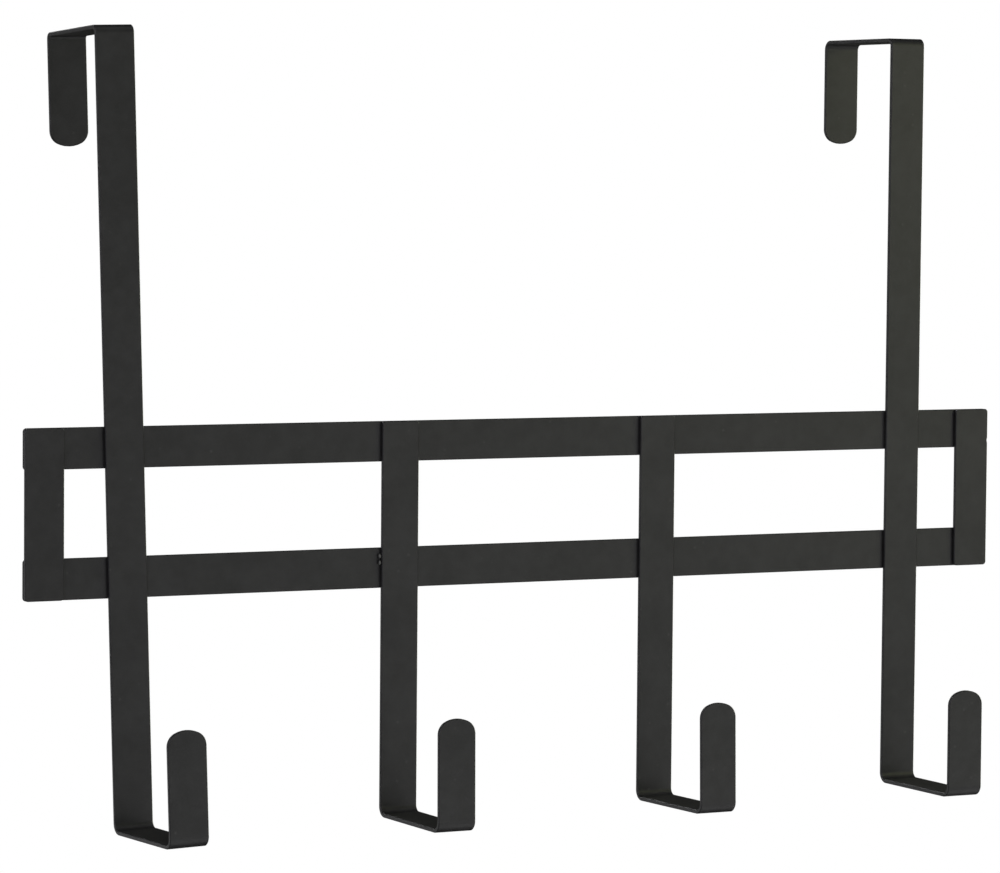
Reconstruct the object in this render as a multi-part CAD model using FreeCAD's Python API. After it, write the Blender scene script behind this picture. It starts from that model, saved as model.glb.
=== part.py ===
import FreeCAD, Part
import math
import os

# Over door hook rack, welded from eight pieces of flat steel strip. Sizes in millimetres.
# Origin: middle of the upper rail's back face, the face that lies against the door.
# +X runs along the rails to the right, +Y goes back into the door, +Z is up.

os.makedirs("parts", exist_ok=True)

# The strip, the same for every piece
strip_width = 15.0
strip_thickness = 1.5
edge_bevel = 0.25         # slight bevel of the long edges, as the coating leaves them
corner_radius = 1.3       # sheared corners, knocked off
end_crown_radius = 10.6   # arched ends of the tips and tabs
end_corner_radius = 5.2   # and the rounded shoulders on both sides of the arch

# The frame of two rails and two end bars
frame_length = 410.0
frame_height = 62.0
nick_radius = 1.8         # dent in the outer edge of the right end bar
nick_depth = 0.45
nick_height = 2.6         # middle of the dent above the upper rail's lower edge

# The row of four hooks
rail_overhang = 39.7      # the rails run on past the middles of the outer hooks
hook_pitch = (frame_length - 2 * rail_overhang) / 3
hook_row_shift = -0.6     # the row sits a little left of the frame's middle
heel_bend_radius = 2.5    # inside radius where the upright turns into the hook plate
toe_bend_radius = 2.6     # inside radius where the hook plate turns up into the tip


class Hook:
    """The sizes in which one hook differs from the next, since they were bent by hand."""

    def __init__(self, place, aside, drop, reach, rise, tip_height, tip_lean):
        self.x = hook_row_shift + place * hook_pitch + aside
        self.drop = drop              # from the lower rail to the underside of the hook plate
        self.reach = reach            # clear depth from the upright to the foot of the tip
        self.rise = rise              # degrees, the hook plate rises to the front
        self.tip_height = tip_height  # from the underside of the hook plate to the tip's top
        self.tip_lean = tip_lean      # degrees, the tip leans back to the upright


class DoorEnd:
    """The end of a long strap that goes over the door and down behind it."""

    def __init__(self, height, gap, fall, front_bend, back_bend, tab_length, tilt):
        self.height = height          # top of the door plate above the upper rail
        self.gap = gap                # clear depth for the door, from the rails to the tab
        self.fall = fall              # degrees, the door plate falls to the back
        self.front_bend = front_bend  # inside radii of the two bends
        self.back_bend = back_bend
        self.tab_length = tab_length  # from the top of the door plate to the end of the tab
        self.tilt = tilt              # degrees, the whole strap leans to the left at its top


hooks = {
    "left_door_strap": Hook(
        place=-1.5, aside=0.0, drop=85.4, reach=48.3, rise=1.0, tip_height=42.1, tip_lean=0.4
    ),
    "left_middle_hook": Hook(
        place=-0.5, aside=0.1, drop=85.4, reach=46.4, rise=-0.2, tip_height=41.7, tip_lean=0.7
    ),
    "right_middle_hook": Hook(
        place=0.5, aside=-0.3, drop=85.4, reach=47.2, rise=0.6, tip_height=41.7, tip_lean=1.4
    ),
    "right_door_strap": Hook(
        place=1.5, aside=0.2, drop=84.7, reach=46.4, rise=-0.2, tip_height=41.2, tip_lean=0.2
    ),
}
door_ends = {
    "left_door_strap": DoorEnd(
        height=144.3, gap=41.7, fall=2.5, front_bend=1.4, back_bend=1.0, tab_length=41.7, tilt=1.7
    ),
    "right_door_strap": DoorEnd(
        height=145.9, gap=45.5, fall=0.0, front_bend=1.4, back_bend=2.2, tab_length=41.1, tilt=-0.1
    ),
}

# Places that follow from the sizes: the rails lie on the door, the rest crosses in front of them
half_width = strip_width / 2
half_thickness = strip_thickness / 2
rail_top = half_width
rail_bottom = -half_width
frame_bottom = rail_top - frame_height
rail_y = -half_thickness
upright_y = rail_y - strip_thickness
upright_front = upright_y - half_thickness
length_slack = 0.001      # two lengths closer than this count as the same


def point(y, z):
    return FreeCAD.Vector(0, y, z)


def left_of(heading):
    return point(-heading.z, heading.y)


def bend_points(before, corner, after, radius, offset):
    """Start, middle and end of the arc round one corner, on a line beside the middle line."""
    heading_in = (corner - before).normalize()
    heading_out = (after - corner).normalize()
    side = 1 if left_of(heading_in).dot(heading_out) > 0 else -1
    cut_back = radius * math.tan(heading_in.getAngle(heading_out) / 2)
    centre = corner - heading_in * cut_back + left_of(heading_in) * (side * radius)
    outwards = (corner - centre).normalize()
    return (
        corner - heading_in * cut_back + left_of(heading_in) * offset,
        centre + outwards * (radius - side * offset),
        corner + heading_out * cut_back + left_of(heading_out) * offset,
    )


def folded_line(corners, bend_radii, offset):
    """Straight runs and bends of a folded strip seen from its side, beside its middle line."""
    first_heading = (corners[1] - corners[0]).normalize()
    last_heading = (corners[-1] - corners[-2]).normalize()
    reached = corners[0] + left_of(first_heading) * offset
    edges = []
    for i, radius in enumerate(bend_radii):
        start, middle, end = bend_points(*corners[i:i + 3], radius, offset)
        edges.append(Part.makeLine(reached, start))
        edges.append(Part.Arc(start, middle, end).toShape())
        reached = end
    edges.append(Part.makeLine(reached, corners[-1] + left_of(last_heading) * offset))
    return edges


def folded_strip(x, corners, inside_radii):
    """A strip folded along its middle line, still square at both ends."""
    bend_radii = [radius + half_thickness for radius in inside_radii]
    left_line = folded_line(corners, bend_radii, half_thickness)
    right_line = folded_line(corners, bend_radii, -half_thickness)
    caps = [
        Part.makeLine(left_line[end].Vertexes[end].Point, right_line[end].Vertexes[end].Point)
        for end in (0, -1)
    ]
    outline = Part.Wire(Part.__sortEdges__(left_line + right_line + caps))
    side_view = Part.Face(outline)
    side_view.translate(FreeCAD.Vector(x - half_width, 0, 0))
    return side_view.extrude(FreeCAD.Vector(strip_width, 0, 0))


def flat_strip(length):
    """A straight strip along X, standing on edge, with its sheared corners knocked off."""
    strip = Part.makeBox(length, strip_thickness, strip_width)
    strip.translate(FreeCAD.Vector(-length / 2, -half_thickness, -half_width))
    return strip.makeFillet(corner_radius, [edge for edge in strip.Edges if goes_through(edge)])


def is_straight(edge, length):
    return isinstance(edge.Curve, Part.Line) and abs(edge.Length - length) < length_slack


def goes_through(edge):
    """True for an edge that runs through the strip's thickness."""
    return is_straight(edge, strip_thickness)


def round_corners(strip, place, radius):
    """Rounds the two corners of a folded strip that lie at this depth and height."""
    corners = []
    for edge in strip.Edges:
        middle = edge.CenterOfMass
        at_place = abs(middle.y - place.y) < length_slack and abs(middle.z - place.z) < length_slack
        if goes_through(edge) and at_place:
            corners.append(edge)
    return strip.makeFillet(radius, corners)


def round_end(strip, x, before, end):
    """Shears the end of a tip or tab to an arch with rounded shoulders.

    The middle line runs from the point before to the end, and x is the middle of the strip.
    """
    heading = (end - before).normalize()
    waste = Part.makeBox(strip_width, strip_width, end_crown_radius)
    waste.translate(FreeCAD.Vector(-half_width, -half_width, -end_crown_radius))
    arch_centre = point(-half_width, -end_crown_radius)
    arch = Part.makeCylinder(end_crown_radius, strip_width, arch_centre, point(1, 0))
    waste = waste.cut(arch)
    lean = math.degrees(math.atan2(-heading.y, heading.z))
    waste.rotate(FreeCAD.Vector(), FreeCAD.Vector(1, 0, 0), lean)
    waste.translate(FreeCAD.Vector(x, end.y, end.z))
    arch_depth = end_crown_radius - math.sqrt(end_crown_radius ** 2 - half_width ** 2)
    return round_corners(strip.cut(waste), end - heading * arch_depth, end_corner_radius)


def soften(strip):
    """Takes the sharpness off the outline of both broad faces, past the bend lines."""
    bevel = min(edge_bevel, 0.4 * strip_thickness)
    outline = [
        edge for edge in strip.Edges
        if not goes_through(edge) and not is_straight(edge, strip_width)
    ]
    return strip.makeChamfer(bevel, outline)


def hook_corners(hook):
    """Heel, toe and tip of the middle line of a hook."""
    toe_y = upright_front - hook.reach - half_thickness
    heel_z = frame_bottom - hook.drop + half_thickness
    toe_z = heel_z + (upright_y - toe_y) * math.tan(math.radians(hook.rise))
    lean = math.radians(hook.tip_lean)
    tip_run = hook.tip_height - half_thickness
    tip = point(toe_y + tip_run * math.sin(lean), toe_z + tip_run * math.cos(lean))
    return [point(upright_y, heel_z), point(toe_y, toe_z), tip]


def door_corners(door_end):
    """End of the tab and both bends of the middle line over the door."""
    tab_y = door_end.gap + half_thickness
    front_z = rail_top + door_end.height - half_thickness
    back_z = front_z - (tab_y - upright_y) * math.tan(math.radians(door_end.fall))
    tab_z = back_z + half_thickness - door_end.tab_length
    return [point(tab_y, tab_z), point(tab_y, back_z), point(upright_y, front_z)]


def door_strap(hook, door_end):
    """One long strip: tab behind the door, door plate, upright, hook plate and tip."""
    corners = door_corners(door_end) + hook_corners(hook)
    radii = [door_end.back_bend, door_end.front_bend, heel_bend_radius, toe_bend_radius]
    strip = folded_strip(hook.x, corners, radii)
    strip = round_end(strip, hook.x, corners[1], corners[0])
    strip = round_end(strip, hook.x, corners[-2], corners[-1])
    strip = soften(strip)
    # The strap was welded on out of square, turned flat against the rails
    pivot = FreeCAD.Vector(hook.x, 0, rail_top - frame_height / 2)
    strip.rotate(pivot, FreeCAD.Vector(0, 1, 0), -door_end.tilt)
    return strip


def middle_hook(hook):
    """One shorter strip from the top of the upper rail down over both rails into a hook."""
    top = point(upright_y, rail_top)
    corners = [top] + hook_corners(hook)
    strip = folded_strip(hook.x, corners, [heel_bend_radius, toe_bend_radius])
    strip = round_corners(strip, top, corner_radius)
    strip = round_end(strip, hook.x, corners[-2], corners[-1])
    return soften(strip)


def rail(middle_z):
    strip = soften(flat_strip(frame_length))
    strip.translate(FreeCAD.Vector(0, rail_y, middle_z))
    return strip


def end_bar(side):
    """Short upright strip over both rail ends; side is -1 at the left and 1 at the right."""
    strip = soften(flat_strip(frame_height))
    strip.rotate(FreeCAD.Vector(), FreeCAD.Vector(0, 1, 0), 90)
    x = side * (frame_length / 2 - half_width)
    strip.translate(FreeCAD.Vector(x, upright_y, rail_top - frame_height / 2))
    return strip


def nicked(bar):
    """Presses the small dent into the outer edge of the right end bar."""
    x = frame_length / 2 + nick_radius - nick_depth
    foot = FreeCAD.Vector(x, upright_front, rail_bottom + nick_height)
    return bar.cut(Part.makeCylinder(nick_radius, strip_thickness, foot, FreeCAD.Vector(0, 1, 0)))


pieces = {
    "upper_rail": rail(0),
    "lower_rail": rail(frame_bottom + half_width),
    "left_end_bar": end_bar(-1),
    "right_end_bar": nicked(end_bar(1)),
    "left_door_strap": door_strap(hooks["left_door_strap"], door_ends["left_door_strap"]),
    "left_middle_hook": middle_hook(hooks["left_middle_hook"]),
    "right_middle_hook": middle_hook(hooks["right_middle_hook"]),
    "right_door_strap": door_strap(hooks["right_door_strap"], door_ends["right_door_strap"]),
}

for name, solid in pieces.items():
    print(name, solid.isValid(), len(solid.Solids), round(solid.Volume, 1))
    solid.exportStep(f"parts/{name}.step")
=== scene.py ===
import math

import bmesh
import bpy
from mathutils import Matrix, Vector


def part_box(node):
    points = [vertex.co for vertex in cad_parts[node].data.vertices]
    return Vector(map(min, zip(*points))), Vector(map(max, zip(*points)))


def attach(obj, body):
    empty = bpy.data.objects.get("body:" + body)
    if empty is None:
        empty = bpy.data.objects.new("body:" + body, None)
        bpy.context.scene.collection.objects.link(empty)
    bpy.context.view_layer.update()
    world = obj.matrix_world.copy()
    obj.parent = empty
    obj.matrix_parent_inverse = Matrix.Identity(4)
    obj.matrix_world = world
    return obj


# Over door hook rack of flat steel strip in matt black powder coat, seen from the front left.
# Metres, with the origin at the middle of the upper rail's back face.

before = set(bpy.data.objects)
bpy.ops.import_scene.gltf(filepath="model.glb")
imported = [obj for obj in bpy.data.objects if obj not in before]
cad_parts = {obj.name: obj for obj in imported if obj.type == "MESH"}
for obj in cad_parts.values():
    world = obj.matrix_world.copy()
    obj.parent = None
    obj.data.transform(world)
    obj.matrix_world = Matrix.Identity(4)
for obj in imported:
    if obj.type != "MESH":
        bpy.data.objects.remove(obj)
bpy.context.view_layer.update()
scene = bpy.context.scene
mm = 0.001


def linear(hex_colour):
    """The linear colour of an sRGB hex value such as "1c1c1b"."""
    values = [int(hex_colour[i:i + 2], 16) / 255 for i in (0, 2, 4)]
    return [v / 12.92 if v <= 0.04045 else ((v + 0.055) / 1.055) ** 2.4 for v in values] + [1.0]


def add_node(tree, kind, settings=None, links=None):
    """Adds one node, with values for its settings and sockets and with links to its sockets.

    A socket is named, or numbered where several have the same name.
    """
    node = tree.nodes.new(kind)
    for name, value in (settings or {}).items():
        if isinstance(name, int) or name in node.inputs:
            node.inputs[name].default_value = value
        else:
            setattr(node, name, value)
    for name, source in (links or {}).items():
        tree.links.new(source, node.inputs[name])
    return node


def empty_material(name):
    material = bpy.data.materials.new(name)
    material.use_nodes = True
    material.node_tree.nodes.clear()
    return material, material.node_tree


# Powder coat

mottle_size = 28 * mm     # slow change of tone where the powder lies thicker
cloud_size = 5 * mm       # faint clouds left by the spray gun
cloud_share = 0.5         # of the change of tone; the mottle gives the rest
thick_noise = 0.36        # noise where the coat is thickest and darkest
thin_noise = 0.64         # noise where it is thinnest and palest
peel_size = 1.3 * mm      # ripple of the melted powder, called orange peel
peel_depth = 0.012 * mm
grain_size = 0.5 * mm     # grit of the matt powder, drawn coarser than it is so that it shows
smooth_noise = 0.3        # noise where the grit is smoothest
rough_noise = 0.7         # noise where it is roughest
nib_spacing = 4.0 * mm    # dust baked into the coat
nib_radius = 0.9 * mm
nib_depth = 0.02 * mm
nib_share = 0.3           # of the places where a nib could be
nib_colour = "2d2d2d"


def nibs(tree, place):
    """Up to 1 at the middle of each baked in speck of dust, falling to 0 at its edge."""
    cells = add_node(tree, "ShaderNodeTexVoronoi", {
        "feature": "F1", "Scale": 1 / nib_spacing, "Randomness": 1.0,
    }, {"Vector": place})
    speck = add_node(tree, "ShaderNodeMapRange", {
        "interpolation_type": "SMOOTHSTEP",
        "From Min": nib_radius / nib_spacing, "From Max": 0.0,
    }, {"Value": cells.outputs["Distance"]})
    chance = add_node(tree, "ShaderNodeSeparateColor", links={"Color": cells.outputs["Color"]})
    strength = add_node(tree, "ShaderNodeMapRange", {
        "From Min": 1 - nib_share, "From Max": 1.0,
    }, {"Value": chance.outputs["Red"]})
    return add_node(tree, "ShaderNodeMath", {"operation": "MULTIPLY"}, {
        0: speck.outputs["Result"], 1: strength.outputs["Result"],
    }).outputs["Value"]


def powder_coat(name, smoothest, roughest, thickest="111112", thinnest="1d1d1e"):
    """Polyester powder, sprayed on steel and baked: near black, with a broad sheen and a fine ripple.

    Thickest and thinnest are its colours where it lies thickest and thinnest.
    """
    material, tree = empty_material(name)
    place = add_node(tree, "ShaderNodeTexCoord").outputs["Object"]
    mottle = add_node(tree, "ShaderNodeTexNoise", {
        "Scale": 1 / mottle_size, "Detail": 3.0, "Roughness": 0.55,
    }, {"Vector": place}).outputs["Fac"]
    clouds = add_node(tree, "ShaderNodeTexNoise", {
        "Scale": 1 / cloud_size, "Detail": 2.0, "Roughness": 0.6,
    }, {"Vector": place}).outputs["Fac"]
    peel = add_node(tree, "ShaderNodeTexNoise", {
        "Scale": 1 / peel_size, "Detail": 1.5, "Roughness": 0.5,
    }, {"Vector": place}).outputs["Fac"]
    grain = add_node(tree, "ShaderNodeTexNoise", {
        "Scale": 1 / grain_size, "Detail": 2.0, "Roughness": 0.6,
    }, {"Vector": place}).outputs["Fac"]
    dust = nibs(tree, place)

    thinness = add_node(tree, "ShaderNodeMix", {"data_type": "FLOAT", "Factor": cloud_share}, {
        2: mottle, 3: clouds,
    }).outputs[0]
    tone = add_node(tree, "ShaderNodeMapRange", {
        "From Min": thick_noise, "From Max": thin_noise,
    }, {"Value": thinness}).outputs["Result"]
    coat_colour = add_node(tree, "ShaderNodeMix", {
        "data_type": "RGBA", 6: linear(thickest), 7: linear(thinnest),
    }, {0: tone}).outputs[2]
    colour = add_node(tree, "ShaderNodeMix", {
        "data_type": "RGBA", 7: linear(nib_colour),
    }, {0: dust, 6: coat_colour}).outputs[2]
    roughness = add_node(tree, "ShaderNodeMapRange", {
        "From Min": smooth_noise, "From Max": rough_noise,
        "To Min": smoothest, "To Max": roughest,
    }, {"Value": grain}).outputs["Result"]
    ripple = add_node(tree, "ShaderNodeBump", {
        "Strength": 1.0, "Distance": peel_depth,
    }, {"Height": peel}).outputs["Normal"]
    surface_normal = add_node(tree, "ShaderNodeBump", {
        "Strength": 1.0, "Distance": nib_depth,
    }, {"Height": dust, "Normal": ripple}).outputs["Normal"]
    surface = add_node(tree, "ShaderNodeBsdfPrincipled", {
        "Metallic": 0.0, "IOR": 1.5,
    }, {"Base Color": colour, "Roughness": roughness, "Normal": surface_normal})
    add_node(tree, "ShaderNodeOutputMaterial", links={"Surface": surface.outputs[0]})
    return material


# Matt on the strips; glossier on the weld metal, where the powder ran together; pale grey on
# the weld's beads, a painted highlight in place of the lamps' glints on them
coat = powder_coat("black_powder_coat", 0.46, 0.56)
glossy_coat = powder_coat("black_powder_coat_on_weld", 0.18, 0.26)
# the pale grey of the beads is a painted highlight, not the coat's own colour
weld_bead_highlight_coat = powder_coat("powder_coat_on_weld_beads_with_painted_highlight", 0.3, 0.4, "4c4c4b", "5c5c5a")


def coat_strips():
    """The eight strips of the frame are right as they are, and get the detailed coat."""
    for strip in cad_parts.values():
        for slot in strip.material_slots:
            slot.material = coat


# Speck of weld metal, two beads that ran together

bead_height = 0.66        # of the speck's half height, above and below its middle
bead_spread = 0.3
waist = 0.3               # of the width of a bead


def two_beads(centre, half_size, steps=32):
    """Shape of a ball drawn out to two beads with a waist, in rings from its top to its bottom."""
    shape = bmesh.new()

    def point(step, side):
        down, along_ring = math.pi * step / steps, 2 * math.pi * side / steps
        height = math.cos(down)
        beyond_bead = (abs(height) - bead_height) / bead_spread
        width = math.sin(down) * (waist + (1 - waist) * math.exp(-beyond_bead ** 2))
        place = (width * math.cos(along_ring), width * math.sin(along_ring), height)
        return shape.verts.new(centre + Vector(a * b for a, b in zip(place, half_size)))

    top, bottom = point(0, 0), point(steps, 0)
    rings = [[point(step, side) for side in range(steps)] for step in range(1, steps)]
    for side in range(steps):
        after = (side + 1) % steps
        shape.faces.new((top, rings[0][side], rings[0][after]))
        for upper, lower in zip(rings, rings[1:]):
            shape.faces.new((upper[side], lower[side], lower[after], upper[after]))
        shape.faces.new((bottom, rings[-1][after], rings[-1][side]))
    return shape


def weld_drop():
    """The speck sits in the corner where the left middle hook crosses the lower rail.

    The waist keeps the dark, glossier coat; the beads are painted pale grey as their highlight.
    """
    hook_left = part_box("left_middle_hook")[0].x
    rail_low, rail_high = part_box("lower_rail")
    corner = Vector((hook_left, rail_low.y, rail_high.z))
    centre = corner + Vector((-0.7, -0.8, -4.3)) * mm
    half_size = Vector((0.6, 0.75, 2.1)) * mm
    # the beads' slot carries the pale grey of the painted highlight
    bead_highlight_slot, waist_slot = 0, 1
    shape = two_beads(centre, half_size)
    for face in shape.faces:
        face.smooth = True
        height = (face.calc_center_median().z - centre.z) / half_size.z
        face.material_index = waist_slot if abs(height) < bead_spread else bead_highlight_slot
    mesh = bpy.data.meshes.new("weld_drop")
    shape.to_mesh(mesh)
    shape.free()
    mesh.materials.append(weld_bead_highlight_coat)
    mesh.materials.append(glossy_coat)
    drop = bpy.data.objects.new("weld_drop", mesh)
    scene.collection.objects.link(drop)
    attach(drop, "root")


# Studio

floor_drop = 1.75         # the floor lies this far below the upper rail, as under a door
floor_radius = 1.6
floor_glow = 0.5          # white that the camera sees in the floor's middle; the rest is its paint
floor_paint = "f6f6f4"
fade_start = 0.5          # of the radius, where the floor starts to fade into the white round it
fade_end = 0.95


def pale_floor():
    """Round piece of pale floor that keeps the rack's shadow and fades into the white round it."""
    material, tree = empty_material("pale_floor")
    place = add_node(tree, "ShaderNodeTexCoord").outputs["Object"]
    distance = add_node(tree, "ShaderNodeVectorMath", {"operation": "LENGTH"}, {0: place})
    rim = add_node(tree, "ShaderNodeMapRange", {
        "interpolation_type": "SMOOTHSTEP",
        "From Min": fade_start * floor_radius, "From Max": fade_end * floor_radius,
        "To Min": floor_glow,
    }, {"Value": distance.outputs["Value"]})
    path = add_node(tree, "ShaderNodeLightPath")
    seen = add_node(tree, "ShaderNodeMath", {"operation": "MULTIPLY"}, {
        0: rim.outputs["Result"], 1: path.outputs["Is Camera Ray"],
    })
    paint = add_node(tree, "ShaderNodeBsdfDiffuse", {"Color": linear(floor_paint)})
    white = add_node(tree, "ShaderNodeEmission", {"Color": linear("ffffff"), "Strength": 1.0})
    mixed = add_node(tree, "ShaderNodeMixShader", links={
        0: seen.outputs["Value"], 1: paint.outputs[0], 2: white.outputs[0],
    })
    add_node(tree, "ShaderNodeOutputMaterial", links={"Surface": mixed.outputs[0]})
    shape = bmesh.new()
    bmesh.ops.create_circle(shape, cap_ends=True, segments=96, radius=floor_radius)
    mesh = bpy.data.meshes.new("floor")
    shape.to_mesh(mesh)
    shape.free()
    mesh.materials.append(material)
    floor = bpy.data.objects.new("floor", mesh)
    floor.location = (0, 0, -floor_drop)
    floor.visible_glossy = False      # the undersides of the rack stay dark
    scene.collection.objects.link(floor)


def way_from_rack(azimuth, elevation):
    """Direction from the rack; azimuth 0 is towards the room and 90 to the right, in degrees."""
    a, e = math.radians(azimuth), math.radians(elevation)
    return Vector((math.sin(a) * math.cos(e), -math.cos(a) * math.cos(e), math.sin(e)))


def studio_world():
    """White all round for the camera, and dim for the rack, as a studio with its blinds down.

    Shiny things see the white sweep where it stands, low at the left behind the rack.
    """
    sweep_way = way_from_rack(203, -20)
    sweep_inner, sweep_outer = math.radians(8), math.radians(20)
    dim_for_matt = 0.4
    dim_for_shiny = 0.02
    world = bpy.data.worlds.new("studio")
    scene.world = world
    world.use_nodes = True
    tree = world.node_tree
    tree.nodes.clear()
    path = add_node(tree, "ShaderNodeLightPath")
    place = add_node(tree, "ShaderNodeTexCoord")
    along_sweep = add_node(tree, "ShaderNodeVectorMath", {
        "operation": "DOT_PRODUCT", 1: sweep_way,
    }, {0: place.outputs["Generated"]})
    sweep = add_node(tree, "ShaderNodeMapRange", {
        "interpolation_type": "SMOOTHSTEP",
        "From Min": math.cos(sweep_outer), "From Max": math.cos(sweep_inner),
    }, {"Value": along_sweep.outputs["Value"]})
    shiny = add_node(tree, "ShaderNodeMath", {"operation": "MAXIMUM"}, {
        0: path.outputs["Is Glossy Ray"], 1: path.outputs["Is Transmission Ray"],
    })
    shiny_at_sweep = add_node(tree, "ShaderNodeMath", {"operation": "MULTIPLY"}, {
        0: shiny.outputs["Value"], 1: sweep.outputs["Result"],
    })
    sees_white = add_node(tree, "ShaderNodeMath", {"operation": "MAXIMUM"}, {
        0: path.outputs["Is Camera Ray"], 1: shiny_at_sweep.outputs["Value"],
    })
    dim = add_node(tree, "ShaderNodeMapRange", {
        "To Min": dim_for_matt, "To Max": dim_for_shiny,
    }, {"Value": shiny.outputs["Value"]})
    room = add_node(tree, "ShaderNodeBackground", {"Color": linear("ffffff")}, {
        "Strength": dim.outputs["Result"],
    })
    white = add_node(tree, "ShaderNodeBackground", {"Color": linear("ffffff"), "Strength": 1.0})
    mixed = add_node(tree, "ShaderNodeMixShader", links={
        0: sees_white.outputs["Value"], 1: room.outputs[0], 2: white.outputs[0],
    })
    add_node(tree, "ShaderNodeOutputWorld", links={"Surface": mixed.outputs[0]})


def softbox(name, place, size, brightness, colour="ffffff"):
    """Rectangular softbox that faces the rack. Its brightness is that of its own front."""
    width, height = size
    data = bpy.data.lights.new(name, "AREA")
    data.shape = "RECTANGLE"
    data.size = width
    data.size_y = height
    data.color = linear(colour)[:3]
    data.energy = brightness * math.pi * width * height
    lamp = bpy.data.objects.new(name, data)
    turn = Vector(place).to_track_quat("Z", "Y").to_matrix().to_4x4()
    lamp.matrix_world = Matrix.Translation(place) @ turn
    lamp.visible_camera = False
    scene.collection.objects.link(lamp)


def studio_lights():
    """The softboxes and the back lamp stand at one distance; the other lamps and cards are nearer."""
    far = 2.5
    softbox("left_softbox", way_from_rack(-60, 20) * far, (1.6, 1.6), 1.95, "f5f2ff")
    softbox("right_lamp", (0.75, -0.45, 0.25), (0.4, 0.4), 3.0, "fbffd0")
    softbox("overhead_softbox", way_from_rack(0, 65) * far, (2.0, 1.4), 0.95)
    softbox("front_softbox", way_from_rack(30, -8) * far, (1.6, 1.0), 1.7)
    softbox("low_right_card", way_from_rack(40, -45) * 1.9, (1.55, 1.04), 0.32)
    softbox("low_right_lamp", (0.5, -0.15, -0.6), (0.3, 0.3), 0.8)
    softbox("low_front_card", way_from_rack(0, -50) * 1.7, (2.1, 1.28), 0.94)
    softbox("back_lamp", way_from_rack(184, 28) * far, (0.5, 0.5), 8.0)
    softbox("back_left_softbox", way_from_rack(244, 0) * far, (1.2, 1.4), 3.0)
    softbox("back_right_softbox", way_from_rack(108, 2) * far, (1.6, 1.3), 5.0, "fdffea")


def place_camera():
    """The camera stands to the left, a little above the rack, and has a long lens."""
    place = Vector((-0.812554, -1.518339, 0.101137))
    yaw, pitch, roll = (math.radians(angle) for angle in (27.7841, -3.3491, 0.4708))
    forward = Vector((
        math.sin(yaw) * math.cos(pitch), math.cos(yaw) * math.cos(pitch), math.sin(pitch),
    ))
    level_right = Vector((math.cos(yaw), -math.sin(yaw), 0))
    level_up = level_right.cross(forward)
    right = level_right * math.cos(roll) + level_up * math.sin(roll)
    up = level_up * math.cos(roll) - level_right * math.sin(roll)
    data = bpy.data.cameras.new("camera")
    data.sensor_width = 36.0
    data.lens = 164.573
    data.clip_start = 0.05
    data.clip_end = 50.0
    camera = bpy.data.objects.new("camera", data)
    turn = Matrix((right, up, -forward)).transposed().to_4x4()
    camera.matrix_world = Matrix.Translation(place) @ turn
    scene.collection.objects.link(camera)
    scene.camera = camera


coat_strips()
weld_drop()
pale_floor()
studio_world()
studio_lights()
place_camera()
scene.view_settings.view_transform = "Standard"
